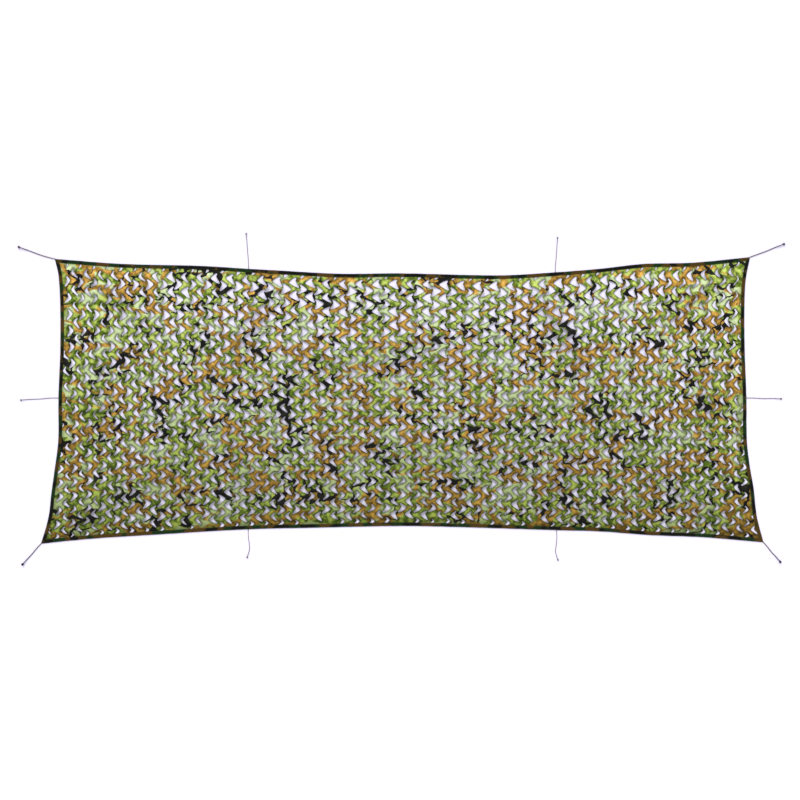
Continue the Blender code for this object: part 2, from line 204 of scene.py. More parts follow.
GAPS = (
    # share of the widest opening, then the gap of a slit bent to the right, anticlockwise from its top:
    # x and y in millimetres, share of the tongue's curl
    (0.2, (
        (-4, 30, 0.0),
        (-8, 23, 0.4),
        (-2, 16, 0.8),
        (1, 9, 1.0),
        (-7, 0, 0.8),
        (-18, -11, 0.4),
        (-30, -23, 0.0),
        (-25, -30, 0.0),
        (-11, -22, 0.0),
        (4, -13, 0.0),
        (17, -3, 0.0),
        (21, 3, 0.0),
        (18, 11, 0.0),
        (7, 25, 0.0),
    )),
    (0.5, (
        (-16, 35, 0.0),
        (-17, 27, 0.4),
        (-9, 17, 0.8),
        (-4, 8, 1.0),
        (-11, -3, 0.8),
        (-21, -16, 0.4),
        (-32, -30, 0.0),
        (-26, -38, 0.0),
        (-8, -29, 0.0),
        (9, -18, 0.0),
        (24, -6, 0.0),
        (29, 2, 0.0),
        (22, 11, 0.0),
        (0, 27, 0.0),
    )),
    (1.0, (
        (-19, 38, 0.0),
        (-27, 29, 0.4),
        (-21, 19, 0.8),
        (-18, 10, 1.0),
        (-24, -3, 0.8),
        (-31, -17, 0.4),
        (-37, -31, 0.0),
        (-32, -39, 0.0),
        (-11, -31, 0.0),
        (9, -19, 0.0),
        (28, -7, 0.0),
        (34, 1, 0.0),
        (26, 11, 0.0),
        (-1, 30, 0.0),
    )),
)

# Share of the widest opening: by the share of the net's width, and by the distance from the nearer end
OPENING_BY_WIDTH = ((0.0, 0.42), (0.25, 0.43), (0.5, 0.48), (0.75, 0.58), (1.0, 0.77))
OPENING_BY_END = ((0.0, 0.22), (0.15, 0.26), (0.35, 0.34), (0.70, 0.50), (1.10, 1.0))
OPENING_SPREAD = (0.5, 1.5)  # a gap's own opening is between these shares of it
WIDEST = 1.05  # and no gap opens further
TURN_JITTER = 7.0
PLACE_JITTER = 0.0025

# Shade painted into the cloth's colour where tongues, gaps' edges and the tape would shade it, as a share of
# the turned-up tongue's
SHADE_AT_EDGE = 0.9  # at a gap's edge
SHADE_FADE = 0.0078  # distance in which that shade fades
TONGUE_SHADE = 0.019  # distance in which a tongue's shade fades from its middle
TONGUE_SPOT = (-0.013, 0.009)  # from the middle of the tongue's lip to the middle of its shade
RIM_SHADE = 0.55  # beside the tape
RIM_REACH = 0.032  # how far from the tape it ends

# Height of the cloth over the ground
MOST_HEIGHT = 0.0375  # the free height nears this and never passes it
STAND = ((0.0, 0.024), (0.5, 0.020), (1.0, 0.010))  # height without folds, by the share of the net's width
STAND_BY_END = ((0.0, 0.5), (1.0, 1.0))  # share of it, by the distance from the nearer end
HALF_WIDTH = 1.0  # of the net, about
RIPPLE = 0.008
RIPPLE_LENGTH = 0.060
LIP_LIFT = 0.012  # how far a tongue curls up
LIFT_SPREAD = (0.6, 1.3)  # a tongue's own lift is between these shares of it
TONGUE_REACH = 0.018  # how far round its lip a tongue lifts the cloth
EDGE_DROOP = 0.005  # how far the cloth sinks along the rest of a gap's edge

# The cloth's points between its gaps
INFILL = 0.0158  # distance between two of them
INFILL_JITTER = 0.22  # share of it that each is moved by at most, each way
INFILL_SPAN = (5.2, 2.1)  # length and width that their grid covers
RIM_CLEAR = 0.013  # least distance from one of them to the net's outer edge
CLEAR = 0.0066  # least distance from one of them to a gap
EDGE_STEP = 0.005  # distance between the points of a gap's edge that this is measured to
EDGE_BIN = 0.012  # size of the square bins that those points are kept in
TONGUE_BIN = 0.06  # and of those for the tongues
MERGE = 1e-6  # points closer than this become one

# Ties
CORNER_TIE = 0.006
EDGE_TIE = 0.004
TIE_REST = 0.0002  # gap between the ground and a tie or knot
TIE_SEWN_IN = 0.006  # length of a tie's end inside the tape
TIE_PINCH = 0.45  # how much flatter that end is
TIE_PINCH_LENGTH = 0.014
TIE_PATH_POINTS = 30
TIE_SIDES = 15
TIE_STRANDS = 3
TIE_LAY = 4.0  # length of one turn of the strands, in diameters
TIE_GROOVE = 0.16  # depth of the grooves between the strands, as a share of the radius
STRAND_ROUND = 0.7  # below 1 the strands are fuller and the grooves narrower
RING_PITCH = 0.3  # distance between the rings of a tie's points, in diameters
LEAST_RINGS = 8
UPRIGHT = 0.05  # a heading whose level part is smaller than this counts as upright
KNOT_WIDTH = 2.5  # in diameters, as are the next three
KNOT_LENGTH = 2.9
TIE_RISE = 6.0  # length in which a tie comes down from the tape, and rises to its knot
TIE_LEVEL = 3.0  # length that is level before the knot
TIES = (
    # name, diameter, how dark its outer end is, x and y of the points that its middle line runs through
    ("corner_top_left", CORNER_TIE, 0.7, (
        (-2.4500, 0.9975), (-2.4980, 1.0095), (-2.5479, 1.0244), (-2.6200, 1.0510), (-2.7009, 1.0801),
    )),
    ("corner_top_right", CORNER_TIE, 0.7, (
        (2.4523, 1.0102), (2.5020, 1.0285), (2.5620, 1.0500), (2.6250, 1.0765), (2.6896, 1.1012),
    )),
    ("corner_bottom_left", CORNER_TIE, 1.0, (
        (-2.5465, -1.0103), (-2.5760, -1.0420), (-2.6110, -1.0850), (-2.6420, -1.1180), (-2.6755, -1.1555),
    )),
    ("corner_bottom_right", CORNER_TIE, 1.0, (
        (2.5465, -1.0004), (2.5730, -1.0300), (2.6020, -1.0680), (2.6320, -1.1000), (2.6642, -1.1379),
    )),
    ("top_left", EDGE_TIE, 0.2, (
        (-1.0822, 0.9276), (-1.0850, 0.9900), (-1.0905, 1.0560), (-1.0945, 1.1150), (-1.0998, 1.1745),
    )),
    ("top_right", EDGE_TIE, 0.2, (
        (1.0787, 0.9031), (1.0815, 0.9620), (1.0870, 1.0250), (1.0905, 1.0860), (1.0949, 1.1456),
    )),
    ("bottom_left", EDGE_TIE, 0.6, (
        (-1.0857, -0.9085), (-1.0840, -0.9640), (-1.0780, -1.0120), (-1.0770, -1.0520), (-1.0928, -1.1061),
    )),
    ("bottom_right", EDGE_TIE, 0.6, (
        (1.0878, -0.9148), (1.0900, -0.9720), (1.0850, -1.0230), (1.0810, -1.0690), (1.0977, -1.1238),
    )),
    ("left", EDGE_TIE, 0.4, (
        (-2.4235, 0.0176), (-2.4900, 0.0160), (-2.5560, 0.0100), (-2.6220, 0.0075), (-2.6875, 0.0028),
    )),
    ("right", EDGE_TIE, 0.4, (
        (2.4265, 0.0176), (2.4850, 0.0165), (2.5480, 0.0130), (2.6100, 0.0140), (2.6712, 0.0113),
    )),
)


class Path:
    """A smooth curve through given points, read by the distance run along it."""

    STEPS = 16  # straight steps from one point to the next
    HEADING_REACH = 0.0025  # the heading is read over this share of the length, each way

    def __init__(self, points):
        self.line = self.smooth([Vector(point) for point in points])
        self.run = [0.0]
        for start, end in pairwise(self.line):
            self.run.append(self.run[-1] + (end - start).length)
        self.length = self.run[-1]

    def smooth(self, points):
        spans = [(end - start).length for start, end in pairwise(points)]
        slopes = []
        for index in range(len(points)):
            first = max(index - 1, 0)
            last = min(index + 1, len(points) - 1)
            slopes.append((points[last] - points[first]) / sum(spans[first:last]))
        line = [points[0]]
        for index, span in enumerate(spans):
            for step in range(1, self.STEPS + 1):
                share = step / self.STEPS
                line.append(
                    points[index] * (2 * share**3 - 3 * share**2 + 1)
                    + slopes[index] * span * (share**3 - 2 * share**2 + share)
                    + points[index + 1] * (3 * share**2 - 2 * share**3)
                    + slopes[index + 1] * span * (share**3 - share**2)
                )
        return line

    def at(self, distance):
        index = min(max(bisect_right(self.run, distance) - 1, 0), len(self.line) - 2)
        share = (distance - self.run[index]) / (self.run[index + 1] - self.run[index])
        return self.line[index].lerp(self.line[index + 1], share)

    def heading(self, distance):
        reach = self.length * self.HEADING_REACH
        ahead = self.at(min(distance + reach, self.length))
        behind = self.at(max(distance - reach, 0.0))
        return (ahead - behind).normalized()


LEFT = Path(LEFT_EDGE)
RIGHT = Path(RIGHT_EDGE)
TOP = Path(TOP_EDGE)
BOTTOM = Path(BOTTOM_EDGE)


def place(s, t):
    """The point of the laid net at the share s of its length and t of its width."""
    across = BOTTOM.at(s * BOTTOM.length) * (1 - t) + TOP.at(s * TOP.length) * t
    along = LEFT.at(t * LEFT.length) * (1 - s) + RIGHT.at(t * RIGHT.length) * s
    below = BOTTOM.line[0] * (1 - s) + BOTTOM.line[-1] * s
    above = TOP.line[0] * (1 - s) + TOP.line[-1] * s
    return across + along - below * (1 - t) - above * t


def clamp(value, least=0.0, most=1.0):
    return min(max(value, least), most)


def between(value, rows):
    """A value read from a short table of (position, value) rows by straight lines."""
    for (start, low), (end, high) in pairwise(rows):
        if value <= end:
            break
    return low + (high - low) * clamp((value - start) / (end - start))


def ease(share):
    """0 to 1 with no kink at either end."""
    share = clamp(share)
    return share * share * (3 - 2 * share)


def fade(distance, reach):
    """1 at no distance, about a third at the reach and nearly 0 at twice the reach."""
    return math.exp(-((distance / reach) ** 2))


# Looks


def linear(red, green, blue):
    """A colour of 0 to 255 as the light that it stands for."""
    def one(value):
        value /= 255
        return value / 12.92 if value <= 0.04045 else ((value + 0.055) / 1.055) ** 2.4
    return (one(red), one(green), one(blue), 1.0)


def grey(value):
    return (value, value, value, 1.0)


LIME = linear(180, 192, 98)
OLIVE = linear(84, 106, 22)
PALE = linear(186, 197, 154)
BROWN = linear(206, 158, 76)
RUST = linear(120, 88, 28)
BLACK = linear(15, 15, 13)
WORN_BLACK = linear(38, 38, 30)
PAINTED_SHADE_TINT = (0.12, 0.15, 0.05, 1)  # what the painted shade leaves of the cloth's colour
LOWER_PAINTED_SHADE = (0.52, 0.57, 0.38, 1)  # painted shade: the cloth is darker towards the net's lower edge, as if less light fell there
UPPER_PAINTED_LIGHT = (1.22, 1.28, 1.20, 1)  # and painted light: lighter towards the upper one
TINT_FROM = -0.95  # places across the net from where and up to where the painted light changes
TINT_TO = 0.95
TAPE_GREEN = linear(12, 36, 14)
TAPE_BROWN = linear(60, 43, 14)
TAPE_BLACK = linear(8, 9, 8)
THREAD_COLOUR = linear(62, 66, 44)
CORD_GROOVE = linear(60, 54, 36)
CORD_FIBRE = linear(110, 100, 72)
CORD_END = linear(12, 12, 8)


class Nodes:
    """A material's nodes, made one after the other."""

    def __init__(self, name):
        self.material = bpy.data.materials.new(name)
        self.material.use_nodes = True
        self.tree = self.material.node_tree
        self.shader = self.tree.nodes["Principled BSDF"]
        self.place = self.tree.nodes.new("ShaderNodeTexCoord").outputs["Object"]

    def put(self, value, socket):
        """Join an input to another node's output, or give it a plain value."""
        if isinstance(value, bpy.types.NodeSocket):
            self.tree.links.new(value, socket)
        else:
            socket.default_value = value

    def node(self, kind, inputs, **settings):
        made = self.tree.nodes.new(kind)
        for key, value in settings.items():
            setattr(made, key, value)
        for key, value in inputs.items():
            self.put(value, made.inputs[key])
        return made

    def attribute(self, name, output="Fac"):
        return self.node("ShaderNodeAttribute", {}, attribute_name=name).outputs[output]

    def math(self, operation, first, second=0.0):
        return self.node("ShaderNodeMath", {0: first, 1: second}, operation=operation).outputs[0]

    def vector_math(self, operation, first, second):
        return self.node("ShaderNodeVectorMath", {0: first, 1: second}, operation=operation).outputs[0]

    def noise(self, scale, detail, vector=None, offset=(0, 0, 0), stretch=(1, 1, 1), turn=0, output="Fac"):
        turns = (0, 0, math.radians(turn))
        mapping = self.node(
            "ShaderNodeMapping",
            {"Vector": vector or self.place, "Location": offset, "Scale": stretch, "Rotation": turns},
        )
        made = self.node(
            "ShaderNodeTexNoise",
            {"Vector": mapping.outputs[0], "Scale": scale, "Detail": detail},
        )
        return made.outputs[output]

    def step(self, value, low, high):
        """0 at low and 1 at high, level beyond both; low may be the larger one."""
        made = self.node("ShaderNodeMapRange", {"Value": value, "From Min": low, "From Max": high})
        return made.outputs[0]

    def ridge(self, value):
        """How far a noise is from its middle value: 0 along thin winding lines."""
        return self.math("ABSOLUTE", self.math("SUBTRACT", value, 0.5))

    def mix(self, share, first, second, blend="MIX"):
        """Two colours mixed; the numbers are those of the node's sockets for colours."""
        made = self.node("ShaderNodeMix", {0: share, 6: first, 7: second}, data_type="RGBA", blend_type=blend)
        return made.outputs[2]

    def tint(self, colour, tint):
        return self.mix(1.0, colour, tint, "MULTIPLY")

    def warped(self, scale, reach, offset=(0, 0, 0)):
        """The place, pushed about by noise."""
        shift = self.noise(scale, 2.0, offset=offset, output="Color")
        centred = self.vector_math("SUBTRACT", shift, (0.5, 0.5, 0.5))
        grown = self.vector_math("MULTIPLY", centred, (reach, reach, 0))
        return self.vector_math("ADD", self.place, grown)

    def weave(self, scale):
        """Height of a plain weave. Its threads lie 0.31 m / scale apart, each way."""
        bands = []
        for direction in ("X", "Y"):
            made = self.node(
                "ShaderNodeTexWave",
                {"Vector": self.place, "Scale": scale, "Distortion": 0.6, "Detail": 1.0},
                bands_direction=direction,
            )
            bands.append(made.outputs["Fac"])
        return self.math("MULTIPLY", *bands)

    def surface(self, colour, roughness, specular, height=None, distance=0.0, strength=0.0):
        """Put the looks on the shader, with a bump of this height if one is given."""
        self.put(colour, self.shader.inputs["Base Color"])
        self.put(roughness, self.shader.inputs["Roughness"])
        self.put(specular, self.shader.inputs["Specular IOR Level"])
        if height is not None:
            made = self.node("ShaderNodeBump", {"Height": height, "Distance": distance, "Strength": strength})
            self.put(made.outputs[0], self.shader.inputs["Normal"])
        return self.material


def print_colour(nodes):
    """The cloth's print: pale and brown blotches on green ones, and clusters of black veins over them."""
    warped = nodes.warped(16.0, 0.06)
    tone = nodes.noise(30.0, 3.0)
    green = nodes.mix(nodes.step(tone, 0.40, 0.60), OLIVE, LIME)
    pale = nodes.noise(6.5, 1.5, warped, offset=(3, 1, 0), stretch=(0.9, 1.2, 1))
    colour = nodes.mix(nodes.step(pale, 0.535, 0.555), green, PALE)

    ribbons = nodes.ridge(nodes.noise(6.0, 1.5, warped, offset=(11, 5, 0), stretch=(0.8, 1.3, 1)))
    coarse = nodes.noise(3.4, 1.5, offset=(7, 4, 0), stretch=(0.8, 1.3, 1))
    widest = nodes.math("MULTIPLY", nodes.step(coarse, 0.36, 0.56), 0.075)
    earth = nodes.math("SUBTRACT", widest, ribbons)
    brown = nodes.mix(nodes.step(tone, 0.35, 0.65), RUST, BROWN)
    colour = nodes.mix(nodes.step(earth, 0.0, 0.008), colour, brown)

    veins = nodes.ridge(nodes.noise(9.0, 1.0, warped, offset=(23, 17, 0), stretch=(0.8, 1.2, 1), turn=30))
    clusters = nodes.noise(4.6, 2.0, offset=(2, 9, 0))
    widest = nodes.math("MULTIPLY", nodes.step(clusters, 0.49, 0.58), 0.054)
    dark = nodes.math("SUBTRACT", widest, veins)
    black = nodes.mix(nodes.step(tone, 0.45, 0.70), BLACK, WORN_BLACK)
    return nodes.mix(nodes.step(dark, 0.0, 0.006), colour, black)


def cloth_material():
    nodes = Nodes("net_cloth_looks")
    colour = print_colour(nodes)
    fibre = nodes.noise(420.0, 3.0)
    colour = nodes.tint(colour, nodes.mix(nodes.step(fibre, 0.2, 0.8), grey(0.64), grey(0.90)))
    # Painted shade: the cloth's colour is darkened at gaps' edges, at turned-up tongues and beside the tape
    painted_shade = nodes.step(nodes.attribute("painted_shade"), 0.0, 1.0)
    colour = nodes.mix(painted_shade, colour, nodes.tint(colour, PAINTED_SHADE_TINT))
    # Painted light: darker towards the net's lower edge, lighter towards its upper one
    across = nodes.node("ShaderNodeSeparateXYZ", {0: nodes.place}).outputs["Y"]
    colour = nodes.tint(colour, nodes.mix(nodes.step(across, TINT_FROM, TINT_TO), LOWER_PAINTED_SHADE, UPPER_PAINTED_LIGHT))
    rough = nodes.math("ADD", nodes.math("MULTIPLY", fibre, 0.2), 0.62)
    return nodes.surface(colour, rough, 0.1, nodes.weave(90), 0.0003, 0.5)


def stitches(nodes):
    """1 on the threads of the two rows of stitches that hold the tape, else 0."""
    tape_place = nodes.attribute("tape_place", "Vector")
    parts = nodes.node("ShaderNodeSeparateXYZ", {0: tape_place}).outputs
    along = nodes.math("PINGPONG", parts["X"], STITCH_PITCH / 2)
    dash = nodes.step(along, STITCH_LENGTH / 2 + STITCH_BLUR, STITCH_LENGTH / 2 - STITCH_BLUR)
    from_rows = [
        nodes.math("ABSOLUTE", nodes.math("SUBTRACT", parts["Y"], depth)) for depth in STITCH_ROWS
    ]
    nearest = nodes.math("MINIMUM", *from_rows)
    band = nodes.step(nearest, THREAD / 2 + THREAD_BLUR, THREAD / 2 - THREAD_BLUR)
    return nodes.math("MULTIPLY", dash, band)


def tape_material():
    nodes = Nodes("edge_tape_looks")
    warped = nodes.warped(14.0, 0.06, offset=(5, 5, 0))
    brown = nodes.noise(8.0, 2.0, warped, offset=(7, 3, 0))
    black = nodes.noise(7.0, 2.0, warped, offset=(1, 9, 0))
    colour = nodes.mix(nodes.step(brown, 0.49, 0.52), TAPE_GREEN, TAPE_BROWN)
    colour = nodes.mix(nodes.step(black, 0.53, 0.56), colour, TAPE_BLACK)
    fibre = nodes.noise(500.0, 2.0)
    colour = nodes.tint(colour, nodes.mix(nodes.step(fibre, 0.2, 0.8), grey(0.75), grey(1.2)))
    thread = stitches(nodes)
    colour = nodes.mix(thread, colour, THREAD_COLOUR)
    raised = nodes.math("ADD", nodes.math("MULTIPLY", nodes.weave(70), 0.5), thread)
    return nodes.surface(colour, 0.8, 0.05, raised, 0.0005, 0.7)


def cord_material():
    nodes = Nodes("tie_cord_looks")
    fibre = nodes.noise(650.0, 3.0)
    colour = nodes.mix(nodes.step(fibre, 0.3, 0.7), CORD_GROOVE, CORD_FIBRE)
    colour = nodes.mix(nodes.attribute("dark_end"), colour, CORD_END)
    return nodes.surface(colour, 0.85, 0.1, fibre, 0.0004, 0.6)


CLOTH_LOOKS = cloth_material()
TAPE_LOOKS = tape_material()
CORD_LOOKS = cord_material()


# Meshes


def add_mesh(name, points, faces, material, sharp):
    """One smooth mesh object, with its faces turned outwards and its edges sharp past an angle."""
    mesh = bpy.data.meshes.new(name)
    mesh.from_pydata(points, [], faces)
    shape = bmesh.new()
    shape.from_mesh(mesh)
    bmesh.ops.recalc_face_normals(shape, faces=shape.faces)
    shape.to_mesh(mesh)
    shape.free()
    mesh.materials.append(material)
    mesh.shade_smooth()
    mesh.set_sharp_from_angle(angle=math.radians(sharp))
    piece = bpy.data.objects.new(name, mesh)
    bpy.context.scene.collection.objects.link(piece)
    return piece


def skin(count, sides):
    """Faces of a closed body whose points come in rings of this many sides, with a cap at each end."""
    faces = [tuple(range(sides)), tuple(range(count - sides, count))]
    for first in range(0, count - sides, sides):
        for side in range(sides):
            here = first + side
            after = first + (side + 1) % sides
            faces.append((here, after, after + sides, here + sides))
    return faces


def give(piece, name, values, kind="FLOAT", field="value"):
    """Keep a value at each of a piece's points, for its material."""
    piece.data.attributes.new(name, kind, "POINT").data.foreach_set(field, values)


# Camera


def add_camera():
    camera = bpy.data.cameras.new("camera")
    camera.lens = CAMERA_LENS
    camera.sensor_width = CAMERA_SENSOR
    height = VIEW_WIDTH * CAMERA_LENS / CAMERA_SENSOR
    camera.clip_end = 2 * height
    holder = bpy.data.objects.new("camera", camera)
    holder.location = (*CAMERA_PLACE, height)
    bpy.context.scene.collection.objects.link(holder)
    bpy.context.scene.camera = holder


# Ties

# The cord's middle line inside an overhand knot, in diameters: ahead, sideways and up from the knot's axis
KNOT_LINE = (
    (-0.3, 0.0, 0.0),
    (0.5, 0.25, 0.1),
    (1.25, 0.62, 0.42),
    (2.05, 0.42, 0.70),
    (2.35, -0.35, 0.45),
    (1.85, -0.85, -0.10),
    (1.10, -0.70, -0.62),
    (0.55, 0.10, -0.72),
    (0.45, 0.85, -0.15),
    (0.80, 0.55, 0.66),
    (1.20, -0.30, 0.62),
    (1.65, -0.45, 0.05),
    (2.15, 0.05, -0.35),
    (2.55, 0.10, -0.10),
    (2.95, 0.0, 0.0),
)


def tie_route(diameter, plan):
    """A tie's smooth route: out of the tape, down to the ground and up into its knot."""
    ground = diameter / 2 + TIE_REST
    knot = KNOT_WIDTH * diameter / 2 + TIE_REST
    leave = max(ground, TAPE_HEIGHT / 2)
    flat = Path([(x, y, 0.0) for x, y in plan])
    last = flat.length - KNOT_LENGTH * diameter / 2
    level = last - TIE_LEVEL * diameter
    points = []
    for step in range(TIE_PATH_POINTS + 1):
        distance = last * step / TIE_PATH_POINTS
        height = leave + (ground - leave) * ease(distance / (TIE_RISE * diameter))
        height += (knot - ground) * ease(1 - (level - distance) / (TIE_RISE * diameter))
        points.append(flat.at(distance) + Vector((0.0, 0.0, height)))
    sewn_in = points[0] - (points[1] - points[0]).normalized() * TIE_SEWN_IN
    return [sewn_in, *points]


def level_side(ahead):
    """The level direction to the left of a heading."""
    return Vector((-ahead.y, ahead.x, 0.0))


def rope(route, diameter, pinch=0.0):
    """Points of a twisted cord along a route, in rings; its start may be pinched flat."""
    path = Path(route)
    rings = max(LEAST_RINGS, round(path.length / (RING_PITCH * diameter)))
    points = []
    for ring in range(rings + 1):
        distance = path.length * ring / rings
        middle = path.at(distance)
        ahead = path.heading(distance)
        sideways = level_side(ahead)
        if sideways.length < UPRIGHT:
            sideways = Vector((1.0, 0.0, 0.0))
        sideways.normalize()
        upwards = ahead.cross(sideways) * (1 - pinch * (1 - ease(distance / TIE_PINCH_LENGTH)))
        twist = 2 * math.pi * distance / (TIE_LAY * diameter)
        for side in range(TIE_SIDES):
            turn = 2 * math.pi * side / TIE_SIDES
            lobe = abs(math.cos(TIE_STRANDS / 2 * (turn - twist)))
            reach = diameter / 2 * (1 - TIE_GROOVE + TIE_GROOVE * lobe**STRAND_ROUND)
            points.append(middle + (sideways * math.cos(turn) + upwards * math.sin(turn)) * reach)
    return points


def add_tie(name, diameter, dark_end, plan):
    """One tie, a cord, and the overhand knot on its end."""
    route = tie_route(diameter, plan)
    points = rope(route, diameter, TIE_PINCH)
    tie = add_mesh("cord_" + name, points, skin(len(points), TIE_SIDES), CORD_LOOKS, CORD_SHARP)
    give(tie, "dark_end", [dark_end * ease(index / len(points)) for index in range(len(points))])
    end = route[-1]
    ahead = (end - route[-2]).to_2d().normalized().to_3d()
    sideways = level_side(ahead)
    line = [
        end + (ahead * x + sideways * y + Vector((0.0, 0.0, z))) * diameter for x, y, z in KNOT_LINE
    ]
    turns = rope(line, diameter)
    knot = add_mesh("end_knot_" + name, turns, skin(len(turns), TIE_SIDES), CORD_LOOKS, CORD_SHARP)
    give(knot, "dark_end", [dark_end] * len(turns))
    for piece, node in ((tie, "tie_" + name), (knot, "knot_" + name)):
        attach(piece, "root")
        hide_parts(node)


# The net on the plan


def edge_table(edge, axis):
    """An edge's points in order along one axis, as (place on that axis, place on the other)."""
    return sorted((point[axis], point[1 - axis]) for point in edge.line)


TOP_TABLE = edge_table(TOP, 0)
BOTTOM_TABLE = edge_table(BOTTOM, 0)
LEFT_TABLE = edge_table(LEFT, 1)
RIGHT_TABLE = edge_table(RIGHT, 1)


def edge_at(table, value):
    """Where an edge is, read from its table."""
    index = min(max(bisect_right(table, (value,)) - 1, 0), len(table) - 2)
    (start, low), (end, high) = table[index], table[index + 1]
    return low + (high - low) * clamp((value - start) / max(end - start, 1e-9))


def insets(point):
    """Distances of a point inside the top, bottom, left and right edge, found on the plan."""
    return (
        edge_at(TOP_TABLE, point.x) - point.y,
        point.y - edge_at(BOTTOM_TABLE, point.x),
        point.x - edge_at(LEFT_TABLE, point.y),
        edge_at(RIGHT_TABLE, point.y) - point.x,
    )


def inset_of(point):
    """Distance of a point inside the net's outer edge; negative outside it."""
    return min(insets(point))


class Nearby:
    """Points of the plan in square bins, so that those near a spot are found at once."""

    def __init__(self, size):
        self.size = size
        self.bins = {}

    def key(self, point):
        return math.floor(point.x / self.size), math.floor(point.y / self.size)

    def add(self, point, item=None):
        self.bins.setdefault(self.key(point), []).append((point, item))

    def around(self, point):
        column, row = self.key(point)
        for x in (column - 1, column, column + 1):
            for y in (row - 1, row, row + 1):
                yield from self.bins.get((x, y), ())


# Slits


def place_in_pattern(column, row):
    """The shares (s, t) of the net's length and width at a place counted in cells of the slits' pattern."""
    level = row / ROWS
    at_ends = between(level, [(share, ends) for share, ends, _ in PITCH])
    at_middle = between(level, [(share, middle) for share, _, middle in PITCH])
    swing = (at_middle - at_ends) * PATTERN_REACH / (2 * math.pi)
    reach = (at_ends + at_middle) / 2 * column + swing * math.sin(math.pi * column / PATTERN_REACH)
    width = (RIGHT.at(level * RIGHT.length) - LEFT.at(level * LEFT.length)).length
    s = 0.5 + reach / width
    t = level - ROW_SAG * (2 * s - 1) ** 2 * level * (1 - level)
    return s, t


def opening(s, t):
    """How far a slit opens, as a share of the widest gap."""
    from_end = min(s, 1 - s) * BOTTOM.length
    return min(between(t, OPENING_BY_WIDTH), between(from_end, OPENING_BY_END))


def gap(share):
    """The outline of a gap bent to the right, at this share of the widest opening."""
    for (low, smaller), (high, larger) in pairwise(GAPS):
        if share <= high:
            break
    grown = (share - low) / (high - low)
    if grown >= 0:
        return [
            tuple(a + (b - a) * grown for a, b in zip(near, far)) for near, far in zip(smaller, larger)
        ]
    # Smaller than the smallest gap given: the two sides of that one draw together
    closed = share / low
    outline = []
    for index, (x, y, curl) in enumerate(smaller):
        other_x, other_y, _ = smaller[-index]
        middle_x = (x + other_x) / 2
        middle_y = (y + other_y) / 2
        outline.append((middle_x + (x - middle_x) * closed, middle_y + (y - middle_y) * closed, curl))
    return outline


class Slit:
    """One slit, drawn open: its outline on the plan and the tongue of cloth that curls up inside its bend."""

    def __init__(self, column, row, side, size, dice):
        share = opening(*place_in_pattern(column, row)) * dice.uniform(*OPENING_SPREAD)
        self.lift = LIP_LIFT * dice.uniform(*LIFT_SPREAD)
        turn = math.radians(dice.uniform(-TURN_JITTER, TURN_JITTER))
        shift_x = dice.uniform(-PLACE_JITTER, PLACE_JITTER)
        shift_y = dice.uniform(-PLACE_JITTER, PLACE_JITTER)
        self.outline = []
        for x, y, curl in gap(min(share, WIDEST))[::side]:
            x = size * side * x / MILLIMETRES
            y = size * y / MILLIMETRES
            turned_x = x * math.cos(turn) - y * math.sin(turn)
            turned_y = x * math.sin(turn) + y * math.cos(turn)
            corner_column = column + (turned_x + shift_x) / CELL_WIDTH
            corner_row = row + (turned_y + shift_y) / CELL_HEIGHT
            self.outline.append((place(*place_in_pattern(corner_column, corner_row)), curl))
        self.tongue = max(self.outline, key=lambda corner: corner[1])[0]
        self.shade_middle = self.tongue + Vector((side * TONGUE_SPOT[0], TONGUE_SPOT[1]))
        self.inset = min(inset_of(corner) for corner, _ in self.outline)


def all_slits():
    """The slits of both sets that fit inside the tape, each at the first of its sizes that does."""
    dice = random.Random(SLIT_SEED)
    tries = random.Random(TRY_SEED)
    found = []
    for side, column_shift, row_shift in SLIT_SETS:
        for column in range(-PATTERN_REACH - 1, PATTERN_REACH + 2):
            for row in range(math.ceil(ROWS)):
                tried = tries.choice(SIZES_TRIED) if row < ROWS / 2 else len(SLIT_SIZES)
                for size in SLIT_SIZES[:tried]:
                    slit = Slit(column + column_shift, row + row_shift, side, size, dice)
                    if slit.inset > SLIT_MARGIN:
                        found.append(slit)
                        break
    return found


# Cloth


def fold_height(point):
    """Height of the folds at a point on the plan."""
    height = 0.0
    for x, y, heading, length, width, peak in FOLDS:
        turn = math.radians(heading)
        offset = Vector((point.x - x, point.y - y))
        along = offset.x * math.cos(turn) + offset.y * math.sin(turn)
        across = offset.y * math.cos(turn) - offset.x * math.sin(turn)
        if abs(along) < length / 2 and abs(across) < width / 2:
            ridge = math.cos(math.pi * across / width) ** 2
            height += peak * ridge * math.cos(math.pi * along / length)
    return height


def cloth_height(point, tongues, lift=0.0, own=None):
    """Height of the cloth's underside: folds, ripples, tongues that curl up, and the tape at its rim.

    A point on a gap's outline comes with its own lift and its own slit, whose tongue isn't counted twice.
    """
    depths = insets(point)
    from_end = min(depths[2:])
    fall = ease((min(depths) - CLOTH_SHELF) / (CLOTH_FALL - CLOTH_SHELF))
    stand = between((point.y + HALF_WIDTH) / (2 * HALF_WIDTH), STAND) * between(from_end, STAND_BY_END)
    ripple = RIPPLE * noise.noise(Vector((*point, 0.0)) / RIPPLE_LENGTH)
    curl = 0.0
    for lip, slit in tongues.around(point):
        if slit is not own:
            curl = max(curl, slit.lift * fade((point - lip).length, TONGUE_REACH))
    free = max(stand + fold_height(point) + ripple + curl + lift, 0.0)
    free = MOST_HEIGHT * math.tanh(free / MOST_HEIGHT)
    return CLOTH_EDGE_Z * (1 - fall) + free * fall


def rim_shade(point):
    """Shade painted into the cloth's colour beside the tape."""
    return RIM_SHADE * (1 - ease((inset_of(point) - TAPE_WIDTH) / RIM_REACH))


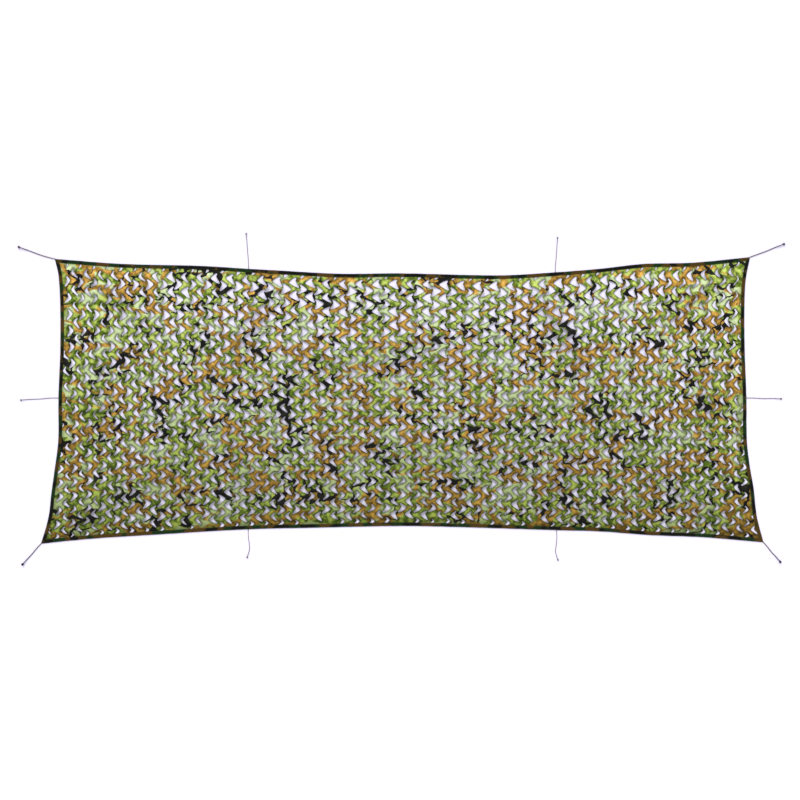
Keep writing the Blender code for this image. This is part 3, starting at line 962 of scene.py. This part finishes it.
def cloth_rim():
    """Points around the cloth's own edge, inside the tape, anticlockwise from the lower left corner."""
    low_s = CLOTH_INSET / BOTTOM.length
    low_t = CLOTH_INSET / LEFT.length
    along = [step / RIM_STEPS_ALONG for step in range(RIM_STEPS_ALONG + 1)]
    across = [step / RIM_STEPS_ACROSS for step in range(RIM_STEPS_ACROSS + 1)]
    shares = [(s, 0.0) for s in along[:-1]]
    shares += [(1.0, t) for t in across[:-1]]
    shares += [(s, 1.0) for s in reversed(along[1:])]
    shares += [(0.0, t) for t in reversed(across[1:])]
    return [place(clamp(s, low_s, 1 - low_s), clamp(t, low_t, 1 - low_t)) for s, t in shares]


def infill(edges):
    """Points between the gaps, on a loose triangular grid."""
    dice = random.Random(INFILL_SEED)
    kept = []
    row_height = INFILL * math.sqrt(0.75)
    rows = int(INFILL_SPAN[1] / row_height)
    columns = int(INFILL_SPAN[0] / INFILL)
    for row in range(-rows // 2, rows // 2 + 1):
        for column in range(-columns // 2, columns // 2 + 1):
            x = (column + 0.5 * (row % 2) + dice.uniform(-INFILL_JITTER, INFILL_JITTER)) * INFILL
            y = row * row_height + dice.uniform(-INFILL_JITTER, INFILL_JITTER) * INFILL
            point = Vector((x, y))
            if inset_of(point) <= RIM_CLEAR:
                continue
            if all((point - near).length > CLEAR for near, _ in edges.around(point)):
                kept.append(point)
    return kept


def net_plan(slits, tongues, edges):
    """The cloth's points on the plan, their heights and painted shades, and the outlines to cut it along."""
    points = cloth_rim()
    heights = [CLOTH_EDGE_Z] * len(points)
    shades = [RIM_SHADE] * len(points)
    outlines = [list(range(len(points)))]
    for slit in slits:
        outlines.append(list(range(len(points), len(points) + len(slit.outline))))
        for corner, curl in slit.outline:
            lift = slit.lift * curl if curl else -EDGE_DROOP
            at_tongue = fade((corner - slit.shade_middle).length, TONGUE_SHADE)
            points.append(corner)
            heights.append(cloth_height(corner, tongues, lift, slit))
            shades.append(max(at_tongue, SHADE_AT_EDGE, rim_shade(corner)))
    for point in infill(edges):
        # Painted shade: darkest at a tongue's shade, at gaps' edges and beside the tape, fading into the
        # cloth
        from_tongues = [(point - slit.shade_middle).length for _, slit in tongues.around(point)]
        from_edges = [(point - near).length for near, _ in edges.around(point)]
        at_tongue = fade(min(from_tongues, default=1.0), TONGUE_SHADE)
        at_gap = SHADE_AT_EDGE * fade(min(from_edges, default=1.0), SHADE_FADE)
        points.append(point)
        heights.append(cloth_height(point, tongues))
        shades.append(max(at_tongue, at_gap, rim_shade(point)))
    return points, heights, shades, outlines


def bins_of(slits):
    """The slits in bins by their tongues, and points along the edges of their gaps in finer bins."""
    tongues = Nearby(TONGUE_BIN)
    edges = Nearby(EDGE_BIN)
    for slit in slits:
        tongues.add(slit.tongue, slit)
        corners = [corner for corner, _ in slit.outline]
        for start, end in zip(corners, (*corners[1:], corners[0])):
            steps = max(1, math.ceil((end - start).length / EDGE_STEP))
            for step in range(steps):
                edges.add(start.lerp(end, step / steps))
    return tongues, edges


def triangle_area(a, b, c):
    return (b - a).cross(c - a).length / 2


def add_net():
    """The cloth with its gaps cut through, and its area."""
    slits = all_slits()
    tongues, edges = bins_of(slits)
    points, heights, shades, outlines = net_plan(slits, tongues, edges)

    cut = delaunay_2d_cdt(points, [], outlines, 0, MERGE)
    flat, triangles, sources, owners = cut[0], cut[2], cut[3], cut[5]
    cloth = [face for face, owner in zip(triangles, owners) if owner == [0]]  # inside the rim and no gap
    used = sorted({index for face in cloth for index in face})
    renumber = {old: new for new, old in enumerate(used)}
    upper = [tuple(renumber[index] for index in face) for face in cloth]
    low = []
    low_shades = []
    for old in used:
        if sources[old]:
            height = heights[sources[old][0]]
            painted_shade = shades[sources[old][0]]
        else:  # two gaps run into each other here
            height = cloth_height(flat[old], tongues)
            painted_shade = SHADE_AT_EDGE
        low.append((*flat[old], height))
        low_shades.append(painted_shade)

    count = len(low)
    high = [(x, y, z + CLOTH_THICKNESS) for x, y, z in low]
    faces = [tuple(index + count for index in face) for face in upper]
    faces += [tuple(reversed(face)) for face in upper]
    sides = {edge for face in upper for edge in zip(face, (*face[1:], face[0]))}
    faces += [(a, b, b + count, a + count) for a, b in sides if (b, a) not in sides]
    net = add_mesh("camouflage_cloth", low + high, faces, CLOTH_LOOKS, CLOTH_SHARP)
    # Painted shade at each point, by which the cloth's material darkens its colour
    give(net, "painted_shade", low_shades + low_shades)
    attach(net, "root")
    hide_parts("net")
    return net, sum(triangle_area(*(Vector(low[index]) for index in face)) for face in upper)


# Tapes


def tape_section(swell, slump):
    """The folded tape cut across, as (depth in from the net's outer edge, height), anticlockwise."""
    radius = TAPE_HEIGHT / 2
    upper = TAPE_LEAF + TAPE_SLOT
    points = []
    for step in range(FOLD_STEPS + 1):
        turn = math.radians(90 + 180 * step / FOLD_STEPS)
        points.append((radius + radius * math.cos(turn), radius + radius * math.sin(turn)))
    points += [
        # Underside and inner edge of the lower leaf
        (0.010, 0.0),
        (0.018, 0.0),
        (TAPE_WIDTH - TAPE_EDGE, 0.0),
        (TAPE_WIDTH, TAPE_EDGE),
        # Slot for the cloth
        (TAPE_WIDTH - 0.0004, TAPE_LEAF),
        (0.015, TAPE_LEAF),
        (TAPE_FOLD, TAPE_LEAF),
        (TAPE_FOLD, upper),
        (0.015, upper),
        (TAPE_WIDTH - 0.0004, upper),
        # Inner edge and top of the upper leaf
        (TAPE_WIDTH + slump, upper + 0.0009),
        (TAPE_WIDTH - 0.0010 + slump, TAPE_HEIGHT - 0.0002),
        (0.020, TAPE_HEIGHT - 0.0004 + swell * 0.2),
        (0.014, TAPE_HEIGHT + swell),
        (0.008, TAPE_HEIGHT + swell * 0.6),
    ]
    return points


def corner_angle(edge, distance, neighbour):
    """The angle between an edge and its neighbour, at the end of the edge that has this distance."""
    corner = edge.at(distance)
    away = edge.heading(distance) if distance == 0.0 else -edge.heading(distance)
    meets_start = (neighbour.at(0.0) - corner).length < TAPE_FOLD
    other = neighbour.heading(0.0) if meets_start else -neighbour.heading(neighbour.length)
    return away.angle(other)


def tape_cuts(length):
    """Distances along a tape at which it is cut across: both corners and even steps in between."""
    steps = round(length / TAPE_STEP)
    least = CORNER_LEG + LEAST_TAPE_STEP
    even = [length * step / steps for step in range(1, steps)]
    inner = [distance for distance in even if least < distance < length - least]
    return [0.0, CORNER_LEG, *inner, length - CORNER_LEG, length]


def add_tape(name, node, edge, inward_side, neighbours):
    """One folded tape, mitred at both ends. The net lies on the edge's left if inward_side is 1."""
    start_angle = corner_angle(edge, 0.0, neighbours[0])
    end_angle = corner_angle(edge, edge.length, neighbours[1])
    points = []
    places = []
    for distance in tape_cuts(edge.length):
        at_start = distance < edge.length / 2
        angle = start_angle if at_start else end_angle
        from_corner = distance if at_start else edge.length - distance
        lean = max(0.0, 1 - from_corner / MITRE_FAN) / math.tan(angle / 2)
        ahead = edge.heading(distance)
        towards_middle = ahead if at_start else -ahead
        inward = Vector((-ahead.y, ahead.x)) * inward_side
        corner = edge.at(distance)
        turned_in = 0.0
        if from_corner == 0.0:
            corner = corner + towards_middle * MITRE_GAP
            turned_in = CORNER_LEG * math.sin(angle) / 2
        uneven = ease((from_corner - EVEN_LENGTH) / UNEVEN_RISE)
        swell, slump, sway = (
            most * uneven * noise.noise(Vector((distance / length, inward_side, where)))
            for most, length, where in UNEVEN
        )
        for depth, height in tape_section(swell, slump):
            depth += turned_in * max(0.0, 1 - depth / TAPE_FOLD)
            spot = corner + inward * (depth + sway) + towards_middle * lean * depth
            points.append((*spot, height))
            places += (distance, depth, height)
    sides = len(tape_section(0.0, 0.0))
    tape = add_mesh(name, points, skin(len(points), sides), TAPE_LOOKS, TAPE_SHARP)
    give(tape, "tape_place", places, "FLOAT_VECTOR", "vector")
    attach(tape, "root")
    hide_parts(node)
    return tape


def add_tapes():
    return [
        add_tape("folded_tape_top", "binding_top", TOP, -1, (LEFT, RIGHT)),
        add_tape("folded_tape_bottom", "binding_bottom", BOTTOM, 1, (LEFT, RIGHT)),
        add_tape("folded_tape_left", "binding_left", LEFT, -1, (BOTTOM, TOP)),
        add_tape("folded_tape_right", "binding_right", RIGHT, 1, (BOTTOM, TOP)),
    ]


# Floor and light


def add_floor():
    corners = [(x * FLOOR_REACH, y * FLOOR_REACH, FLOOR_Z) for x, y in ((-1, -1), (1, -1), (1, 1), (-1, 1))]
    mesh = bpy.data.meshes.new("floor")
    mesh.from_pydata(corners, [], [(0, 1, 2, 3)])
    mesh.materials.append(Nodes("floor_looks").surface(FLOOR_COLOUR, 0.9, 0.1))
    floor = bpy.data.objects.new("floor", mesh)
    bpy.context.scene.collection.objects.link(floor)


def add_light():
    world = bpy.data.worlds.new("world")
    world.use_nodes = True
    sky = world.node_tree.nodes["Background"].inputs
    sky["Color"].default_value = SKY_COLOUR
    sky["Strength"].default_value = SKY_STRENGTH
    bpy.context.scene.world = world
    sun = bpy.data.lights.new("sun", "SUN")
    sun.energy = SUN_STRENGTH
    sun.angle = math.radians(SUN_WIDTH)
    lamp = bpy.data.objects.new("sun", sun)
    lamp.rotation_euler = [math.radians(turn) for turn in SUN_LEAN]
    bpy.context.scene.collection.objects.link(lamp)
    bpy.context.scene.view_settings.view_transform = "Standard"
    bpy.context.scene.view_settings.look = "None"


add_camera()
for row in TIES:
    add_tie(*row)
tapes = add_tapes()
net, cloth_area = add_net()
add_floor()
add_light()
